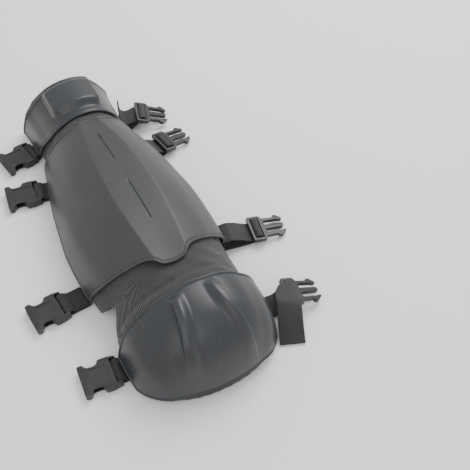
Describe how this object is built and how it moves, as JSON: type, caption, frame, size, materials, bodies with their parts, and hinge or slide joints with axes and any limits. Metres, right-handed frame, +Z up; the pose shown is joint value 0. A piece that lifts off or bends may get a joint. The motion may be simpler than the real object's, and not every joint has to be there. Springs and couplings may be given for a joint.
{
  "type": "leg guard",
  "caption": "Shin and knee guard lying face up: plastic shin, ankle and knee shells on a black mesh pad, with open side-release buckle straps.",
  "frame": {"origin": "centre of the footprint's box on the floor that the guard lies on", "axes": "+Z up from the floor, through the guard's outer face; +Y along the leg from the knee to the ankle; +X to the side of the prong buckles"},
  "size_m": [0.3374, 0.506, 0.1021],
  "materials": {
    "mesh_padding": "black spacer mesh over foam",
    "brushed_lining": "black brushed fabric",
    "binding_tape": "black matte binding",
    "woven_label": "off-white, blank",
    "satin_shell": "satin moulded plastic with a fine grain",
    "gloss_shell": "semi-gloss moulded plastic",
    "webbing": "black ribbed webbing",
    "buckle_plastic": "satin moulded plastic"
  },
  "bodies": {
    "root": {"foam_pad": "mesh_padding", "lining": "brushed_lining", "edge_binding": "binding_tape", "care_label": "woven_label", "shin_plate": "satin_shell", "ankle_plate": "gloss_shell", "knee_cap": "gloss_shell", "left_strap_ankle": "webbing", "socket_buckle_ankle": "buckle_plastic", "right_strap_ankle": "webbing", "prong_buckle_ankle": "buckle_plastic", "left_strap_calf": "webbing", "socket_buckle_calf": "buckle_plastic", "right_strap_calf": "webbing", "prong_buckle_calf": "buckle_plastic", "left_strap_shin": "webbing", "socket_buckle_shin": "buckle_plastic", "right_strap_shin": "webbing", "prong_buckle_shin": "buckle_plastic", "left_strap_knee": "webbing", "socket_buckle_knee": "buckle_plastic", "right_strap_knee": "webbing", "prong_buckle_knee": "buckle_plastic"}
  },
  "joints": []
}
